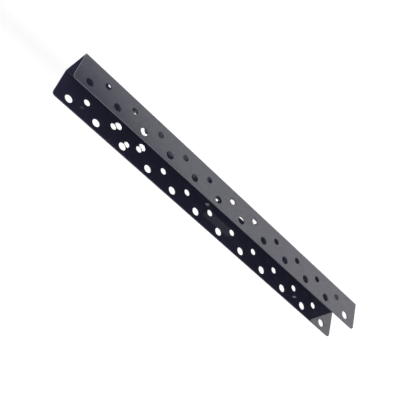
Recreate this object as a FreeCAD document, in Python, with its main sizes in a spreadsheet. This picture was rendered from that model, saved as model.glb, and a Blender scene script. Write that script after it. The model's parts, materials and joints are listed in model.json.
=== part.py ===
import FreeCAD, Part
import math
import os
import Sketcher
from FreeCAD import Vector

# Wall rail for hand tools: one steel sheet, punched flat and folded twice into a channel
# that is open to the front. X runs along the rail, the wall face is the plane Y = 0 with
# the rail on its -Y side, and Z points up from the middle of the wall face. Millimetres.

SIZES = [
    ("sheet_thickness", 1.5, "steel sheet"),
    ("bend_inner_radius", 1.0, "inside of both folds"),
    ("rail_height", 49.5, "outside of the lower flange to outside of the upper one"),
    ("flange_depth", 53.0, "wall face to front edge"),
    ("front_corner_radius", 5.5, "the four free corners of the flanges"),
    ("end_margin", 23.5, "centre of the last large hole to the rail's end"),
    ("hole_pitch", 50.0, "centre to centre along both rows"),
    ("large_hole_count", 12, "large holes in each flange; one small hole lies in each gap"),
    ("large_hole_diameter", 12.5, "front row, for shanks and blades"),
    ("large_row_from_front", 13.5, "front edge to centre line of the front row"),
    ("small_hole_diameter", 10.2, "back row"),
    ("small_row_from_wall", 21.3, "wall face to centre line of the back row"),
    ("fixing_hole_diameter", 6.5, "screw holes in the web"),
    ("fixing_offset", 3.0, "middle of the rail to the middle screw hole, to the left"),
    ("fixing_spacing", 240.0, "middle screw hole to each outer one, along the rail"),
    ("outer_fixing_from_top", 14.5, "top of the rail to the outer screw holes"),
    ("middle_fixing_from_bottom", 11.0, "bottom of the rail to the middle screw hole"),
    ("window_length", 60.0, "opening in the web, along the rail"),
    ("window_height", 18.0, "opening in the web, upwards"),
    ("window_from_middle", 8.2, "middle of the rail to the near end of the window"),
    ("window_from_bottom", 16.3, "bottom of the rail to the window's lower edge"),
    ("window_corner_radius", 2.0, "corners of the window"),
]

SHEET = "Dimensions"
ORIGIN = (-1, 1)
HORIZONTAL_AXIS, VERTICAL_AXIS = range(-1, -3, -1)
START, END, CENTRE = range(1, 4)
RAIL_LENGTH = "((large_hole_count - 1) * hole_pitch + 2 * end_margin)"
LARGE_TO_WALL = "(flange_depth - large_row_from_front)"
VOLUME_TOLERANCE = 0.02


def make_sheet(doc):
    sheet = doc.addObject("Spreadsheet::Sheet", SHEET)
    for row, (alias, value, note) in enumerate(SIZES, start=1):
        sheet.set(f"A{row}", alias)
        sheet.set(f"B{row}", str(value))
        sheet.set(f"C{row}", note)
        sheet.setAlias(f"B{row}", alias)
    doc.recompute()
    return sheet


def in_sheet(expression):
    """The expression with each size's name led back to the sheet."""
    for alias, _, _ in sorted(SIZES, key=lambda size: -len(size[0])):
        expression = expression.replace(alias, f"{SHEET}.{alias}")
    return expression


def origin_plane(body, role):
    for feature in body.Origin.OriginFeatures:
        if feature.Role == role:
            return feature
    raise RuntimeError(f"{body.Label} has no {role}")


def new_sketch(body, name, role):
    sketch = body.newObject("Sketcher::SketchObject", name)
    sketch.AttachmentSupport = [(origin_plane(body, role), "")]
    sketch.MapMode = "FlatFace"
    return sketch


def join(sketch, kind, *ends):
    sketch.addConstraint(Sketcher.Constraint(kind, *ends))


def hold(sketch, kind, name, expression, first, second=None):
    """A dimension at its drawn value, then tied to the sheet."""
    if second is None:
        drawn = sketch.Geometry[first].Radius * (2 if kind == "Diameter" else 1)
        index = sketch.addConstraint(Sketcher.Constraint(kind, first, drawn))
    else:
        gap = sketch.getPoint(*second) - sketch.getPoint(*first)
        drawn = gap.x if kind == "DistanceX" else gap.y
        index = sketch.addConstraint(Sketcher.Constraint(kind, *first, *second, drawn))
    sketch.renameConstraint(index, name)
    sketch.setExpression(f"Constraints.{name}", in_sheet(expression))


def arc(centre, radius, first_angle, last_angle):
    circle = Part.Circle(Vector(*centre, 0), Vector(0, 0, 1), radius)
    return Part.ArcOfCircle(circle, math.radians(first_angle), math.radians(last_angle))


def line(start, end):
    return Part.LineSegment(Vector(*start, 0), Vector(*end, 0))


def draw_channel(sketch, size):
    """The folded sheet's section. Sketch X is the row's Y, sketch Y is its Z."""
    half = size("rail_height") / 2
    wall = size("sheet_thickness")
    inner = size("bend_inner_radius")
    outer = inner + wall
    front = -size("flange_depth")
    upper = (-outer, half - outer)
    lower = (-outer, outer - half)
    top_outside, top_bend, back, bottom_bend, bottom_outside = range(5)
    lower_lip, bottom_inside, bottom_inner_bend, web_inside = range(5, 9)
    top_inner_bend, top_inside, upper_lip = range(9, 12)
    sketch.addGeometry([
        line((front, half), (-outer, half)),
        arc(upper, outer, 0, 90),
        line((0, half - outer), (0, outer - half)),
        arc(lower, outer, 270, 360),
        line((-outer, -half), (front, -half)),
        line((front, -half), (front, wall - half)),
        line((front, wall - half), (-outer, wall - half)),
        arc(lower, inner, 270, 360),
        line((-wall, outer - half), (-wall, half - outer)),
        arc(upper, inner, 0, 90),
        line((-outer, half - wall), (front, half - wall)),
        line((front, half - wall), (front, half)),
    ], False)
    for flat in (top_outside, bottom_outside, bottom_inside, top_inside):
        join(sketch, "Horizontal", flat)
    for upright in (web_inside, lower_lip, upper_lip):
        join(sketch, "Vertical", upright)
    join(sketch, "Tangent", top_outside, END, top_bend, END)
    join(sketch, "Tangent", back, START, top_bend, START)
    join(sketch, "Tangent", back, END, bottom_bend, END)
    join(sketch, "Tangent", bottom_outside, START, bottom_bend, START)
    join(sketch, "Tangent", bottom_inside, END, bottom_inner_bend, START)
    join(sketch, "Tangent", web_inside, START, bottom_inner_bend, END)
    join(sketch, "Tangent", web_inside, END, top_inner_bend, START)
    join(sketch, "Tangent", top_inside, START, top_inner_bend, END)
    join(sketch, "Coincident", bottom_outside, END, lower_lip, START)
    join(sketch, "Coincident", lower_lip, END, bottom_inside, START)
    join(sketch, "Coincident", top_inside, END, upper_lip, START)
    join(sketch, "Coincident", upper_lip, END, top_outside, START)
    join(sketch, "Coincident", top_bend, CENTRE, top_inner_bend, CENTRE)
    join(sketch, "Coincident", bottom_bend, CENTRE, bottom_inner_bend, CENTRE)
    join(sketch, "Equal", top_inner_bend, bottom_inner_bend)
    join(sketch, "Vertical", upper_lip, END, lower_lip, START)
    join(sketch, "PointOnObject", back, START, VERTICAL_AXIS)
    join(sketch, "Symmetric", back, START, back, END, HORIZONTAL_AXIS)
    hold(sketch, "Radius", "inner_radius", "bend_inner_radius", top_inner_bend)
    hold(sketch, "DistanceX", "web_wall", "sheet_thickness", (web_inside, END), (back, START))
    hold(sketch, "DistanceX", "depth", "flange_depth", (upper_lip, END), ORIGIN)
    hold(sketch, "DistanceY", "height", "rail_height", (bottom_outside, END), (top_outside, START))


def draw_hole(sketch, name, diameter, along, across, drawn):
    """One round hole. Its drawn place gives the side of each axis that it lies on."""
    x, y, radius = drawn
    hole = sketch.addGeometry(Part.Circle(Vector(x, y, 0), Vector(0, 0, 1), radius), False)
    hold(sketch, "Diameter", f"{name}_diameter", diameter, hole)
    for kind, place, expression in (("DistanceX", x, along), ("DistanceY", y, across)):
        ends = (ORIGIN, (hole, CENTRE)) if place > 0 else ((hole, CENTRE), ORIGIN)
        hold(sketch, kind, f"{name}_{kind[-1]}", expression, *ends)


def draw_window(sketch, size):
    """The window in the web, a rectangle with rounded corners. Sketch Y is the row's Z."""
    radius = size("window_corner_radius")
    left = size("window_from_middle")
    right = left + size("window_length")
    bottom = size("window_from_bottom") - size("rail_height") / 2
    top = bottom + size("window_height")
    corners = [((right - radius, top - radius), 0), ((left + radius, top - radius), 90),
               ((left + radius, bottom + radius), 180), ((right - radius, bottom + radius), 270)]
    arcs = [sketch.addGeometry(arc(centre, radius, turn, turn + 90), False) for centre, turn in corners]
    sides = []
    for number, first in enumerate(arcs):
        following = arcs[(number + 1) % len(arcs)]
        start, end = sketch.getPoint(first, END), sketch.getPoint(following, START)
        side = sketch.addGeometry(Part.LineSegment(start, end), False)
        join(sketch, "Horizontal" if number % 2 == 0 else "Vertical", side)
        join(sketch, "Tangent", side, START, first, END)
        join(sketch, "Tangent", side, END, following, START)
        sides.append(side)
    for other in arcs[1:]:
        join(sketch, "Equal", arcs[0], other)
    top_side, left_side, bottom_side, right_side = sides
    hold(sketch, "Radius", "corner", "window_corner_radius", arcs[0])
    hold(sketch, "DistanceX", "length", "window_length", (left_side, END), (right_side, START))
    hold(sketch, "DistanceY", "height", "window_height", (bottom_side, START), (top_side, START))
    hold(sketch, "DistanceX", "from_middle", "window_from_middle", ORIGIN, (left_side, END))
    hold(sketch, "DistanceY", "sill", "rail_height / 2 - window_from_bottom", (bottom_side, START), ORIGIN)


def punch(body, sketch, name, area):
    """A cut right through the sheet on both sides of the sketch, tested by what it removes."""
    before = body.Shape.Volume
    cut = body.newObject("PartDesign::Pocket", name)
    cut.Profile = sketch
    cut.Type = "ThroughAll"
    cut.SideType = "Symmetric"
    body.Document.recompute()
    removed = before - body.Shape.Volume
    if abs(removed - area) > VOLUME_TOLERANCE * area:
        raise RuntimeError(f"{name} removed {removed:.1f} mm3 in place of {area:.1f} mm3")
    return cut


def repeat(body, cut, sketch, name, count):
    """The cut again at each pitch along the rail."""
    row = body.newObject("PartDesign::LinearPattern", name)
    row.Originals = [cut]
    row.Direction = (sketch, ["H_Axis"])
    row.Mode = "Spacing"
    row.setExpression("Offset", in_sheet("hole_pitch"))
    row.setExpression("Occurrences", in_sheet(count))
    body.Tip = row


def front_corner_edges(shape, front, half_length):
    """The names of the short upright edges at the four free corners of the flanges."""
    names = []
    for number, edge in enumerate(shape.Edges, start=1):
        middle = edge.CenterOfMass
        upright = abs(edge.tangentAt(edge.FirstParameter).z) > 0.99
        if upright and abs(middle.y - front) < 0.01 and abs(abs(middle.x) - half_length) < 0.01:
            names.append(f"Edge{number}")
    return names


def make_rail(doc, sheet):
    def size(alias):
        return float(sheet.get(alias))

    body = doc.addObject("PartDesign::Body", "tool_rail")
    body.Label = "tool_rail"
    wall = size("sheet_thickness")
    first_large = -(size("large_hole_count") - 1) * size("hole_pitch") / 2
    half_length = size("end_margin") - first_large

    section = new_sketch(body, "ChannelSection", "YZ_Plane")
    draw_channel(section, size)
    channel = body.newObject("PartDesign::Pad", "FoldedChannel")
    channel.Profile = section
    channel.SideType = "Symmetric"
    channel.setExpression("Length", in_sheet(RAIL_LENGTH))
    doc.recompute()

    corners = body.newObject("PartDesign::Fillet", "FrontCorners")
    corners.Base = (channel, front_corner_edges(channel.Shape, -size("flange_depth"), half_length))
    corners.setExpression("Radius", in_sheet("front_corner_radius"))
    doc.recompute()

    large = new_sketch(body, "LargeHole", "XY_Plane")
    radius = size("large_hole_diameter") / 2
    place = (first_large, size("large_row_from_front") - size("flange_depth"), radius)
    draw_hole(large, "large", "large_hole_diameter", "(large_hole_count - 1) * hole_pitch / 2",
              LARGE_TO_WALL, place)
    cut = punch(body, large, "FirstLargePair", 2 * wall * math.pi * radius ** 2)
    repeat(body, cut, large, "LargeRow", "large_hole_count")
    doc.recompute()

    small = new_sketch(body, "SmallHole", "XY_Plane")
    radius = size("small_hole_diameter") / 2
    place = (first_large + size("hole_pitch") / 2, -size("small_row_from_wall"), radius)
    draw_hole(small, "small", "small_hole_diameter", "(large_hole_count - 2) * hole_pitch / 2",
              "small_row_from_wall", place)
    cut = punch(body, small, "FirstSmallPair", 2 * wall * math.pi * radius ** 2)
    repeat(body, cut, small, "SmallRow", "large_hole_count - 1")
    doc.recompute()

    fixings = new_sketch(body, "WallFixings", "XZ_Plane")
    radius = size("fixing_hole_diameter") / 2
    middle_x = -size("fixing_offset")
    outer_z = size("rail_height") / 2 - size("outer_fixing_from_top")
    middle_z = size("middle_fixing_from_bottom") - size("rail_height") / 2
    outer_height = "rail_height / 2 - outer_fixing_from_top"
    draw_hole(fixings, "left", "fixing_hole_diameter", "fixing_spacing + fixing_offset", outer_height,
              (middle_x - size("fixing_spacing"), outer_z, radius))
    draw_hole(fixings, "right", "fixing_hole_diameter", "fixing_spacing - fixing_offset", outer_height,
              (middle_x + size("fixing_spacing"), outer_z, radius))
    draw_hole(fixings, "middle", "fixing_hole_diameter", "fixing_offset",
              "rail_height / 2 - middle_fixing_from_bottom", (middle_x, middle_z, radius))
    punch(body, fixings, "FixingHoles", 3 * wall * math.pi * radius ** 2)

    window = new_sketch(body, "WebWindow", "XZ_Plane")
    draw_window(window, size)
    corner_loss = (4 - math.pi) * size("window_corner_radius") ** 2
    area = size("window_length") * size("window_height") - corner_loss
    punch(body, window, "WindowCut", wall * area)
    return body


def check(doc, parts):
    for item in doc.Objects:
        if "Invalid" in item.State or "Error" in item.State:
            raise RuntimeError(f"{item.Label} did not build: {item.State}")
        if item.TypeId == "Sketcher::SketchObject" and not item.FullyConstrained:
            raise RuntimeError(f"{item.Label} is not fully constrained")
    for part in parts:
        if part.Shape.isNull() or not part.Shape.isValid():
            raise RuntimeError(f"{part.Label} has no valid shape")


def main():
    doc = FreeCAD.newDocument("WallToolRail")
    sheet = make_sheet(doc)
    parts = [make_rail(doc, sheet)]
    doc.recompute()
    check(doc, parts)
    os.makedirs("parts", exist_ok=True)
    for part in parts:
        part.Shape.exportStep(f"parts/{part.Label}.step")
        box = part.Shape.BoundBox
        print(f"{part.Label}: {len(part.Shape.Solids)} solid, {box.XLength:.2f} x {box.YLength:.2f} x "
              f"{box.ZLength:.2f} mm, {part.Shape.Volume / 1000:.2f} cm3, {len(part.Shape.Faces)} faces")


main()
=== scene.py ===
import json
import math
import bmesh
import bpy
from mathutils import Matrix, Vector


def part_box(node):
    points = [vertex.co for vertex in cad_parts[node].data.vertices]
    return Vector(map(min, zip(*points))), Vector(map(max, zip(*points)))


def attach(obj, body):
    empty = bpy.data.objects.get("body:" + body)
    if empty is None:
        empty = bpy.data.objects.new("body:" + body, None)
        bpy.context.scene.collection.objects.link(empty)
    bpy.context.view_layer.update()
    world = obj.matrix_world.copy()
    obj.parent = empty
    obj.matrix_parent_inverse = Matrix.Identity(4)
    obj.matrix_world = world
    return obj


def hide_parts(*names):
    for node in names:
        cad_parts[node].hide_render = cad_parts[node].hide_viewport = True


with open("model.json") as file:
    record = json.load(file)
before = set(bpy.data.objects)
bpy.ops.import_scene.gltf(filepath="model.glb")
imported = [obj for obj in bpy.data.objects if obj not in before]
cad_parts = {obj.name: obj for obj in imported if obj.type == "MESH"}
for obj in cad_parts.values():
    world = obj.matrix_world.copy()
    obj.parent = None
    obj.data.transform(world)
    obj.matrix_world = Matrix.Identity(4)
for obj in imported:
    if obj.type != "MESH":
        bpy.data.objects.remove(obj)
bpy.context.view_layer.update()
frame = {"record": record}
mounts = frame["record"]["mounts"]


millimetre = 0.001


def linearChannel(value):
    return value / 12.92 if value <= 0.04045 else ((value + 0.055) / 1.055) ** 2.4


def hexColour(text):
    return tuple(linearChannel(int(text[i:i + 2], 16) / 255) for i in (0, 2, 4)) + (1.0,)


def addNode(tree, kind, settings=None, values=None, links=None):
    node = tree.nodes.new(kind)
    for name, value in (settings or {}).items():
        setattr(node, name, value)
    for name, value in (values or {}).items():
        node.inputs[name].default_value = value
    for name, source in (links or {}).items():
        tree.links.new(source, node.inputs[name])
    return node


# Rail: one steel sheet, punched and folded twice. Its surface is drawn on the outside of
# the sheet and given its thickness inwards, so the outline is the CAD model's own.
railLook = {
    "sheetThickness": 1.5 * millimetre,
    "bendRadius": 2.5 * millimetre,  # outside of the fold
    "bendSteps": 12,
    "cornerRadius": 5.5 * millimetre,
    "cornerSteps": 10,
    "holeSteps": 64,
    "windowLeft": 8.2 * millimetre,
    "windowRight": 68.2 * millimetre,
    "windowBottom": -8.45 * millimetre,
    "windowTop": 9.55 * millimetre,
    "windowRadius": 2.0 * millimetre,
    "windowSteps": 6,
    "edgeRound": 0.3 * millimetre,  # deburring and paint round every cut edge a little
    "edgeSteps": 3,
    "edgeAngle": 50.0,  # degrees, sharper than this is a cut edge
    "edgeThinning": 1.0,  # how thin the paint is drawn over a cut edge
    "foldThinning": 0.9,
    "joinWithin": 0.01 * millimetre,
    "flatWithin": 0.002 * millimetre,
}

low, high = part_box("tool_rail")


def addRing(mesh, centre, radius, place):
    ring = bmesh.ops.create_circle(mesh, segments=railLook["holeSteps"], radius=radius,
                                   cap_ends=False)
    for vert in ring["verts"]:
        vert.co = place(centre[0] + vert.co.x, centre[1] + vert.co.y)


def addOutline(mesh, corners, rounded, radius, steps, place):
    verts = [mesh.verts.new((x, y, 0)) for x, y in corners]
    edges = [mesh.edges.new((verts[i - 1], verts[i])) for i in range(len(verts))]
    picked = [verts[i] for i in rounded]
    made = bmesh.ops.bevel(mesh, geom=picked, offset=radius, segments=steps, profile=0.5,
                           affect="VERTICES", material=-1)
    loop = {vert for edge in edges if edge.is_valid for vert in edge.verts}
    for vert in loop.union(made["verts"]):
        vert.co = place(vert.co.x, vert.co.y)


def onTop(x, y):
    return Vector((x, y, high.z))


def onBottom(x, y):
    return Vector((x, y, low.z))


def onWeb(x, z):
    return Vector((x, high.y, z))


def fillPanel(joined, draw):
    panel = bmesh.new()
    draw(panel)
    bmesh.ops.triangle_fill(panel, edges=panel.edges[:], use_beauty=True, use_dissolve=False)
    bmesh.ops.recalc_face_normals(panel, faces=panel.faces[:])
    data = bpy.data.meshes.new("panel")
    panel.to_mesh(data)
    panel.free()
    joined.from_mesh(data)
    bpy.data.meshes.remove(data)


def boresAlong(axis):
    for mount in mounts:
        if mount["kind"] == "bore" and abs(mount["axis"][axis]) > 0.9:
            yield Vector(mount["pos_m"]), mount["dims"]["r_mm"] * millimetre


def drawFlange(panel, place):
    look = railLook
    fold = high.y - look["bendRadius"]
    corners = [(low.x, fold), (low.x, low.y), (high.x, low.y), (high.x, fold)]
    addOutline(panel, corners, (1, 2), look["cornerRadius"], look["cornerSteps"], place)
    for centre, radius in boresAlong(2):
        addRing(panel, (centre.x, centre.y), radius, place)


def drawWeb(panel):
    look = railLook
    top = high.z - look["bendRadius"]
    corners = [(low.x, -top), (low.x, top), (high.x, top), (high.x, -top)]
    addOutline(panel, corners, (), 0, 1, onWeb)
    left, right = look["windowLeft"], look["windowRight"]
    bottom, upper = look["windowBottom"], look["windowTop"]
    window = [(left, bottom), (left, upper), (right, upper), (right, bottom)]
    addOutline(panel, window, range(4), look["windowRadius"], look["windowSteps"], onWeb)
    for centre, radius in boresAlong(1):
        addRing(panel, (centre.x, centre.z), radius, onWeb)
    for mount in mounts:
        if mount["kind"] == "bolt_pattern":
            across = mount["dims"]["spacing_x_mm"] * millimetre / 2
            for side in (-across, across):
                addRing(panel, (mount["pos_m"][0] + side, mount["pos_m"][2]),
                        mount["dims"]["hole_r_mm"] * millimetre, onWeb)


def addFold(joined, side):
    # a line along the rail, spun a quarter turn about the fold's axis
    radius = railLook["bendRadius"]
    ends = [joined.verts.new((x, high.y - radius, side * high.z)) for x in (low.x, high.x)]
    line = joined.edges.new(ends)
    bmesh.ops.spin(joined, geom=[*ends, line], cent=(0, high.y - radius, side * (high.z - radius)),
                   axis=(1, 0, 0), angle=-side * math.pi / 2, steps=railLook["bendSteps"],
                   use_merge=False)


def thicken(data):
    # the sheet's thickness goes inwards from the drawn outside
    blank = bpy.data.objects.new("blank", data)
    bpy.context.scene.collection.objects.link(blank)
    thick = blank.modifiers.new("sheet", "SOLIDIFY")
    thick.thickness = railLook["sheetThickness"]
    thick.offset = -1
    thick.use_even_offset = True
    solid = bpy.data.meshes.new_from_object(blank.evaluated_get(bpy.context.evaluated_depsgraph_get()))
    bpy.data.objects.remove(blank)
    bpy.data.meshes.remove(data)
    return solid


def roundEdges(mesh):
    # tell the paint where it is drawn thin, and which of these edges are the sheared outline, along
    # which a pale highlight is painted into the colour
    look = railLook
    drawn = mesh.faces.layers.float.new("thinPaint")
    highlightOutlineLayer = mesh.faces.layers.float.new("highlightOutline")
    for face in mesh.faces:
        middle = face.calc_center_median()
        if min(middle.y - high.y, abs(middle.z) - high.z) > -look["bendRadius"]:
            face[drawn] = look["foldThinning"]
    cut = [edge for edge in mesh.edges if edge.calc_face_angle(0) > math.radians(look["edgeAngle"])]
    made = bmesh.ops.bevel(mesh, geom=cut, offset=look["edgeRound"], segments=look["edgeSteps"],
                           profile=0.5, affect="EDGES", clamp_overlap=False, material=-1)
    for face in made["faces"]:
        middle = face.calc_center_median()
        inside = min(middle.x - low.x, high.x - middle.x, middle.y - low.y)
        face[drawn] = look["edgeThinning"]
        # these outline faces get the painted highlight: a pale line in the paint's colour
        face[highlightOutlineLayer] = float(inside < look["cornerRadius"] / 3)


def shadeFlats(mesh):
    # flats mirror like sheet steel, so only folds, corners, bores and rounded edges are smooth
    sheet = railLook["sheetThickness"]
    planes = [(0, low.x), (0, high.x), (1, low.y), (1, high.y), (1, high.y - sheet),
              (2, low.z), (2, high.z), (2, low.z + sheet), (2, high.z - sheet)]
    for face in mesh.faces:
        middle = face.calc_center_median()
        face.smooth = all(abs(middle[axis] - place) > railLook["flatWithin"] for axis, place in planes)


def makeRail():
    joined = bmesh.new()
    fillPanel(joined, lambda panel: drawFlange(panel, onTop))
    fillPanel(joined, lambda panel: drawFlange(panel, onBottom))
    fillPanel(joined, drawWeb)
    addFold(joined, 1)
    addFold(joined, -1)
    bmesh.ops.remove_doubles(joined, verts=joined.verts[:], dist=railLook["joinWithin"])
    bmesh.ops.recalc_face_normals(joined, faces=joined.faces[:])
    # the outside of the upper flange looks up
    topFace = max(joined.faces, key=lambda face: face.calc_center_median().z)
    if topFace.normal.z < 0:
        bmesh.ops.reverse_faces(joined, faces=joined.faces[:])
    data = bpy.data.meshes.new("painted_rail")
    joined.to_mesh(data)
    joined.free()
    solid = thicken(data)
    finished = bmesh.new()
    finished.from_mesh(solid)
    roundEdges(finished)
    shadeFlats(finished)
    finished.to_mesh(solid)
    finished.free()
    rail = bpy.data.objects.new("painted_rail", solid)
    bpy.context.scene.collection.objects.link(rail)
    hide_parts("tool_rail")
    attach(rail, "root")
    return rail


# Stoved gloss enamel, blue-black, sprayed on sheet steel. It gives the eye a near mirror
# with a very fine orange peel: pale surroundings show in it, and its own colour stays dark.
paintLook = {
    "colour": "303043",
    "speckColour": "353548",
    "speckSize": 0.9,  # mm, pigment mottle
    "peelSize": 2.4,  # mm, one ripple of the orange peel
    "peelHeight": 0.0004,  # mm
    "roughness": (0.018, 0.03),
    "grainSize": 1.5,  # mm, stipple of the sprayed coat, drawn coarse enough to show
    "grainGloss": (0.32, 0.68),
    "grainSpread": (0.3, 0.7),  # the noise's usual range
    "edgeRoughness": 0.3,  # the paint draws thin and dries duller over edges and folds
    "edgeHighlightColour": "6e6e78",  # and a thin pale line is painted along the outline as a highlight
    "ior": 1.6,
}


def makePaint():
    look = paintLook
    paint = bpy.data.materials.new("blueBlackGlossEnamel")
    paint.use_nodes = True
    tree = paint.node_tree
    shader = tree.nodes["Principled BSDF"]
    shader.inputs["IOR"].default_value = look["ior"]
    place = addNode(tree, "ShaderNodeTexCoord").outputs["Object"]

    mottle = addNode(tree, "ShaderNodeTexNoise", None,
                     {"Scale": 1000 / look["speckSize"], "Detail": 2.0}, {"Vector": place})
    pigment = addNode(tree, "ShaderNodeMix", {"data_type": "RGBA"},
                      {6: hexColour(look["colour"]), 7: hexColour(look["speckColour"])},
                      {0: mottle.outputs["Fac"]})
    outline = addNode(tree, "ShaderNodeAttribute", {"attribute_name": "highlightOutline"})
    # painted highlight: a pale colour mixed in along the outline's rounded edges
    paintedEdgeHighlight = addNode(tree, "ShaderNodeMix", {"data_type": "RGBA"}, {7: hexColour(look["edgeHighlightColour"])},
                   {0: outline.outputs["Fac"], 6: pigment.outputs[2]})
    tree.links.new(paintedEdgeHighlight.outputs[2], shader.inputs["Base Color"])

    grain = addNode(tree, "ShaderNodeTexNoise", None,
                    {"Scale": 1000 / look["grainSize"], "Detail": 1.0}, {"Vector": place})
    stipple = addNode(tree, "ShaderNodeMapRange", None,
                      {"From Min": look["grainSpread"][0], "From Max": look["grainSpread"][1],
                       "To Min": look["grainGloss"][0], "To Max": look["grainGloss"][1]},
                      {"Value": grain.outputs["Fac"]})
    tree.links.new(stipple.outputs["Result"], shader.inputs["Specular IOR Level"])

    peel = addNode(tree, "ShaderNodeTexNoise", None,
                   {"Scale": 1000 / look["peelSize"], "Detail": 1.0}, {"Vector": place})
    gloss = addNode(tree, "ShaderNodeMapRange", None,
                    {"To Min": look["roughness"][0], "To Max": look["roughness"][1]},
                    {"Value": peel.outputs["Fac"]})
    thin = addNode(tree, "ShaderNodeAttribute", {"attribute_name": "thinPaint"})
    dulled = addNode(tree, "ShaderNodeMix", {"data_type": "FLOAT"}, {"B": look["edgeRoughness"]},
                     {"Factor": thin.outputs["Fac"], "A": gloss.outputs["Result"]})
    tree.links.new(dulled.outputs["Result"], shader.inputs["Roughness"])
    bump = addNode(tree, "ShaderNodeBump", None,
                   {"Strength": 1.0, "Distance": look["peelHeight"] * millimetre},
                   {"Height": peel.outputs["Fac"]})
    tree.links.new(bump.outputs["Normal"], shader.inputs["Normal"])
    return paint


rail = makeRail()
rail.data.materials.append(makePaint())
print("rail made")

# White surroundings. Reflections see a backdrop that ends overhead and a dimmer side behind
# the camera; the camera sees plain white.
studioLook = {
    "backdropFrom": (-0.2, 0.4),  # along Y, where the dim side passes into the backdrop
    "backdropTop": 38.0,  # degrees above the horizon
    "ceilingFrom": 42.7,
    "backdropLevel": 1.5,
    "frontLevel": 0.5,
    "ceilingLevel": 0.35,
    "keyDirection": (0.2775, -0.7041, 0.6534),
    "keyAngle": 3.5,
    "keyStrength": 0.7,
    "fillPlace": (-0.95, -0.75, 0.18),
    "fillSize": 0.35,
    "fillPower": 3.0,
}


def makeWorld():
    look = studioLook
    world = bpy.data.worlds.new("studio")
    bpy.context.scene.world = world
    world.use_nodes = True
    tree = world.node_tree
    ground = tree.nodes["Background"]
    direction = addNode(tree, "ShaderNodeTexCoord")
    split = addNode(tree, "ShaderNodeSeparateXYZ", None, None,
                    {"Vector": direction.outputs["Generated"]})
    start, end = look["backdropFrom"]
    walls = addNode(tree, "ShaderNodeMapRange", {"interpolation_type": "SMOOTHSTEP"},
                    {"From Min": start, "From Max": end, "To Min": look["frontLevel"],
                     "To Max": look["backdropLevel"]},
                    {"Value": split.outputs["Y"]})
    above = addNode(tree, "ShaderNodeMapRange", {"interpolation_type": "SMOOTHSTEP"},
                    {"From Min": math.sin(math.radians(look["backdropTop"])),
                     "From Max": math.sin(math.radians(look["ceilingFrom"])),
                     "To Max": look["ceilingLevel"]},
                    {"Value": split.outputs["Z"], "To Min": walls.outputs["Result"]})
    path = addNode(tree, "ShaderNodeLightPath")
    strength = addNode(tree, "ShaderNodeMix", {"data_type": "FLOAT"}, {"B": 1.0},
                       {"Factor": path.outputs["Is Camera Ray"], "A": above.outputs["Result"]})
    ground.inputs["Color"].default_value = (1, 1, 1, 1)
    tree.links.new(strength.outputs["Result"], ground.inputs["Strength"])


def makeLamps():
    # the key is small: twice mirrored, by the web and the lower flange, it shows through
    # three holes of the upper flange as white ellipses in the lower one
    look = studioLook
    key = bpy.data.lights.new("key", "SUN")
    key.angle = math.radians(look["keyAngle"])
    key.energy = look["keyStrength"]
    fill = bpy.data.lights.new("fill", "AREA")
    fill.size = look["fillSize"]
    fill.energy = look["fillPower"]
    for lamp, towards, place in ((key, look["keyDirection"], (0, 0, 0)),
                                 (fill, look["fillPlace"], look["fillPlace"])):
        holder = bpy.data.objects.new(lamp.name, lamp)
        holder.rotation_mode = "QUATERNION"
        holder.rotation_quaternion = Vector(towards).to_track_quat("Z", "Y")
        holder.location = place
        bpy.context.scene.collection.objects.link(holder)


def makeSheet(name, left, right, front, back, height):
    mesh = bmesh.new()
    bmesh.ops.create_grid(mesh, x_segments=1, y_segments=1, size=0.5)
    bmesh.ops.scale(mesh, verts=mesh.verts[:], vec=(right - left, back - front, 1))
    bmesh.ops.translate(mesh, verts=mesh.verts[:],
                        vec=((left + right) / 2, (front + back) / 2, height))
    data = bpy.data.meshes.new(name)
    mesh.to_mesh(data)
    mesh.free()
    sheet = bpy.data.objects.new(name, data)
    bpy.context.scene.collection.objects.link(sheet)
    return sheet


# A plain pale floor of matte paper, well below the rail. The camera sees it a little brighter
# than it is lit, so that it is white and still takes the rail's soft shadow.
floorLook = {"depth": 0.8, "halfWidth": 6.0, "colour": "eeeeee", "lift": 0.4}


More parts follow.
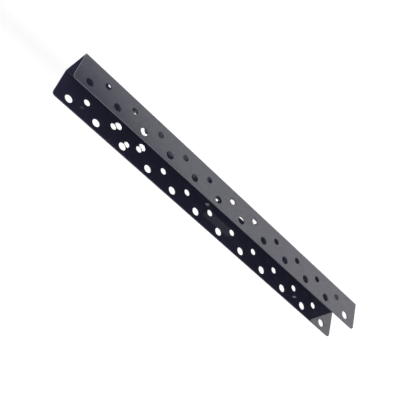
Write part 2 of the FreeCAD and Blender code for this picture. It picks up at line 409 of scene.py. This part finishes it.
def makeFloor():
    look = floorLook
    reach = look["halfWidth"]
    floor = makeSheet("floor", -reach, reach, -reach, reach, -look["depth"])
    paper = bpy.data.materials.new("matteWhitePaper")
    paper.use_nodes = True
    tree = paper.node_tree
    shader = tree.nodes["Principled BSDF"]
    shader.inputs["Base Color"].default_value = hexColour(look["colour"])
    shader.inputs["Roughness"].default_value = 1.0
    shader.inputs["Emission Color"].default_value = (1, 1, 1, 1)
    path = addNode(tree, "ShaderNodeLightPath")
    lift = addNode(tree, "ShaderNodeMath", {"operation": "MULTIPLY"}, {1: look["lift"]},
                   {0: path.outputs["Is Camera Ray"]})
    tree.links.new(lift.outputs["Value"], shader.inputs["Emission Strength"])
    floor.data.materials.append(paper)


# A small sheet lies level behind the window and glows a dim grey: a painted reflection that stands in
# for shade behind the window.
# The window's mirror image in the lower flange is dim, so reflections from below see the sheet and
# nothing else does.
reflectionSheetLook = {
    "left": 4.0 * millimetre,
    "right": 90.0 * millimetre,
    "front": 0.5 * millimetre,
    "back": 21.0 * millimetre,
    "height": 10.2 * millimetre,
    "level": 0.22,
}


def makeReflectionSheet():
    look = reflectionSheetLook
    reflectionSheet = makeSheet("reflectionSheet", *(look[side] for side in ("left", "right", "front", "back", "height")))
    reflectionSheet.data.flip_normals()
    reflectionSheet.visible_camera = reflectionSheet.visible_diffuse = False
    reflectionSheet.visible_shadow = reflectionSheet.visible_transmission = False
    grey = bpy.data.materials.new("paintedReflectionGlow")
    grey.use_nodes = True
    tree = grey.node_tree
    # painted reflection: the sheet glows dim grey and is seen only by reflections
    glow = addNode(tree, "ShaderNodeEmission", None, {"Strength": look["level"]})
    clear = addNode(tree, "ShaderNodeBsdfTransparent")
    side = addNode(tree, "ShaderNodeNewGeometry")
    mix = addNode(tree, "ShaderNodeMixShader", None, None,
                  {0: side.outputs["Backfacing"], 1: glow.outputs["Emission"],
                   2: clear.outputs["BSDF"]})
    tree.links.new(mix.outputs["Shader"], tree.nodes["Material Output"].inputs["Surface"])
    reflectionSheet.data.materials.append(grey)


makeWorld()
makeLamps()
makeFloor()
makeReflectionSheet()
print("studio made")

# The photograph's own view, fitted to the rows of holes and the rail's outline.
cameraLook = {
    "place": (-0.467911, -0.769753, 0.678408),
    "right": (0.682222, 0.240883, 0.690325),
    "down": (0.615115, -0.699478, -0.363818),
    "lens": 67.1515,
    "sensor": 36.0,
}


def makeCamera():
    look = cameraLook
    data = bpy.data.cameras.new("view")
    data.lens = look["lens"]
    data.sensor_width = look["sensor"]
    camera = bpy.data.objects.new("view", data)
    right = Vector(look["right"]).normalized()
    up = -Vector(look["down"])
    up = (up - right * up.dot(right)).normalized()
    turn = Matrix((right, up, right.cross(up))).transposed().to_4x4()
    turn.translation = Vector(look["place"])
    camera.matrix_world = turn
    bpy.context.scene.collection.objects.link(camera)
    bpy.context.scene.camera = camera


makeCamera()
bpy.context.scene.view_settings.view_transform = "Standard"
print("camera made")
